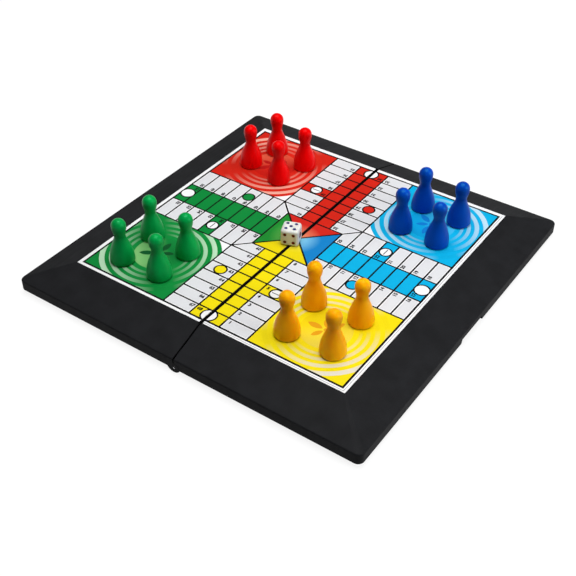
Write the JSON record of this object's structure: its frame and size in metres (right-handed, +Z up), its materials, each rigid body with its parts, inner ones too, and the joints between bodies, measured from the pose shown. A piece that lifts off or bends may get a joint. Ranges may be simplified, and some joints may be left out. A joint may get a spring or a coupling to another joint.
{
  "type": "folding ludo board box",
  "caption": "Square ludo board that folds in half into a shallow box, with a hinge along the seam, printed steel-backed play surface, magnetic pawns and a die.",
  "frame": {"origin": "centre of the open board's footprint, at the underside of the hinge ears", "axes": "+Z up out of the play surface, seam and hinge along Y, X across the seam"},
  "size_m": [0.2, 0.2, 0.0399],
  "materials": {
    "case_plastic": "black moulded plastic, fine satin grain",
    "plate_steel": "tinned sheet steel",
    "pin_steel": "drawn steel wire",
    "magnet_nickel": "nickel plate",
    "print_white": "laminated print, satin",
    "print_black": "laminated print, satin",
    "print_green": "laminated print, satin",
    "print_red": "laminated print, satin",
    "print_blue": "laminated print, satin",
    "print_yellow": "laminated print, satin",
    "pawn_green": "moulded plastic, satin",
    "pawn_red": "moulded plastic, satin",
    "pawn_blue": "moulded plastic, satin",
    "pawn_yellow": "moulded plastic, satin",
    "die_plastic": "polished ivory white plastic",
    "pip_red": "paint in the dimples",
    "pip_blue": "paint in the dimples"
  },
  "bodies": {
    "left_half": {"case_half_left": "case_plastic", "steel_plate_left": "plate_steel", "print_sheet_left": "print_white", "hinge_pin_near": "pin_steel", "hinge_pin_far": "pin_steel"},
    "right_half": {"case_half_right": "case_plastic", "steel_plate_right": "plate_steel", "print_sheet_right": "print_white"},
    "die": {"die": "die_plastic"},
    "pawn_green_1": {"pawn_green_1": "pawn_green", "magnet_green_1": "magnet_nickel"},
    "pawn_green_2": {"pawn_green_2": "pawn_green", "magnet_green_2": "magnet_nickel"},
    "pawn_green_3": {"pawn_green_3": "pawn_green", "magnet_green_3": "magnet_nickel"},
    "pawn_green_4": {"pawn_green_4": "pawn_green", "magnet_green_4": "magnet_nickel"},
    "pawn_red_1": {"pawn_red_1": "pawn_red", "magnet_red_1": "magnet_nickel"},
    "pawn_red_2": {"pawn_red_2": "pawn_red", "magnet_red_2": "magnet_nickel"},
    "pawn_red_3": {"pawn_red_3": "pawn_red", "magnet_red_3": "magnet_nickel"},
    "pawn_red_4": {"pawn_red_4": "pawn_red", "magnet_red_4": "magnet_nickel"},
    "pawn_blue_1": {"pawn_blue_1": "pawn_blue", "magnet_blue_1": "magnet_nickel"},
    "pawn_blue_2": {"pawn_blue_2": "pawn_blue", "magnet_blue_2": "magnet_nickel"},
    "pawn_blue_3": {"pawn_blue_3": "pawn_blue", "magnet_blue_3": "magnet_nickel"},
    "pawn_blue_4": {"pawn_blue_4": "pawn_blue", "magnet_blue_4": "magnet_nickel"},
    "pawn_yellow_1": {"pawn_yellow_1": "pawn_yellow", "magnet_yellow_1": "magnet_nickel"},
    "pawn_yellow_2": {"pawn_yellow_2": "pawn_yellow", "magnet_yellow_2": "magnet_nickel"},
    "pawn_yellow_3": {"pawn_yellow_3": "pawn_yellow", "magnet_yellow_3": "magnet_nickel"},
    "pawn_yellow_4": {"pawn_yellow_4": "pawn_yellow", "magnet_yellow_4": "magnet_nickel"}
  },
  "joints": [
    {"name": "fold", "type": "hinge", "parent": "left_half", "child": "right_half", "pos_m": [0, 0, 0.0021], "axis": [0, 1, 0], "range_deg": [0, 180]},
    {"name": "lift_green_1", "type": "slide", "parent": "left_half", "child": "pawn_green_1", "axis": [0, 0, 1], "range_m": [0, 0.05]},
    {"name": "lift_green_2", "type": "slide", "parent": "left_half", "child": "pawn_green_2", "axis": [0, 0, 1], "range_m": [0, 0.05]},
    {"name": "lift_green_3", "type": "slide", "parent": "left_half", "child": "pawn_green_3", "axis": [0, 0, 1], "range_m": [0, 0.05]},
    {"name": "lift_green_4", "type": "slide", "parent": "left_half", "child": "pawn_green_4", "axis": [0, 0, 1], "range_m": [0, 0.05]},
    {"name": "lift_red_1", "type": "slide", "parent": "left_half", "child": "pawn_red_1", "axis": [0, 0, 1], "range_m": [0, 0.05]},
    {"name": "lift_red_2", "type": "slide", "parent": "left_half", "child": "pawn_red_2", "axis": [0, 0, 1], "range_m": [0, 0.05]},
    {"name": "lift_red_3", "type": "slide", "parent": "left_half", "child": "pawn_red_3", "axis": [0, 0, 1], "range_m": [0, 0.05]},
    {"name": "lift_red_4", "type": "slide", "parent": "left_half", "child": "pawn_red_4", "axis": [0, 0, 1], "range_m": [0, 0.05]},
    {"name": "lift_blue_1", "type": "slide", "parent": "right_half", "child": "pawn_blue_1", "axis": [0, 0, 1], "range_m": [0, 0.05]},
    {"name": "lift_blue_2", "type": "slide", "parent": "right_half", "child": "pawn_blue_2", "axis": [0, 0, 1], "range_m": [0, 0.05]},
    {"name": "lift_blue_3", "type": "slide", "parent": "right_half", "child": "pawn_blue_3", "axis": [0, 0, 1], "range_m": [0, 0.05]},
    {"name": "lift_blue_4", "type": "slide", "parent": "right_half", "child": "pawn_blue_4", "axis": [0, 0, 1], "range_m": [0, 0.05]},
    {"name": "lift_yellow_1", "type": "slide", "parent": "right_half", "child": "pawn_yellow_1", "axis": [0, 0, 1], "range_m": [0, 0.05]},
    {"name": "lift_yellow_2", "type": "slide", "parent": "right_half", "child": "pawn_yellow_2", "axis": [0, 0, 1], "range_m": [0, 0.05]},
    {"name": "lift_yellow_3", "type": "slide", "parent": "right_half", "child": "pawn_yellow_3", "axis": [0, 0, 1], "range_m": [0, 0.05]},
    {"name": "lift_yellow_4", "type": "slide", "parent": "right_half", "child": "pawn_yellow_4", "axis": [0, 0, 1], "range_m": [0, 0.05]},
    {"name": "lift_die", "type": "slide", "parent": "left_half", "child": "die", "axis": [0, 0, 1], "range_m": [0, 0.05]}
  ]
}
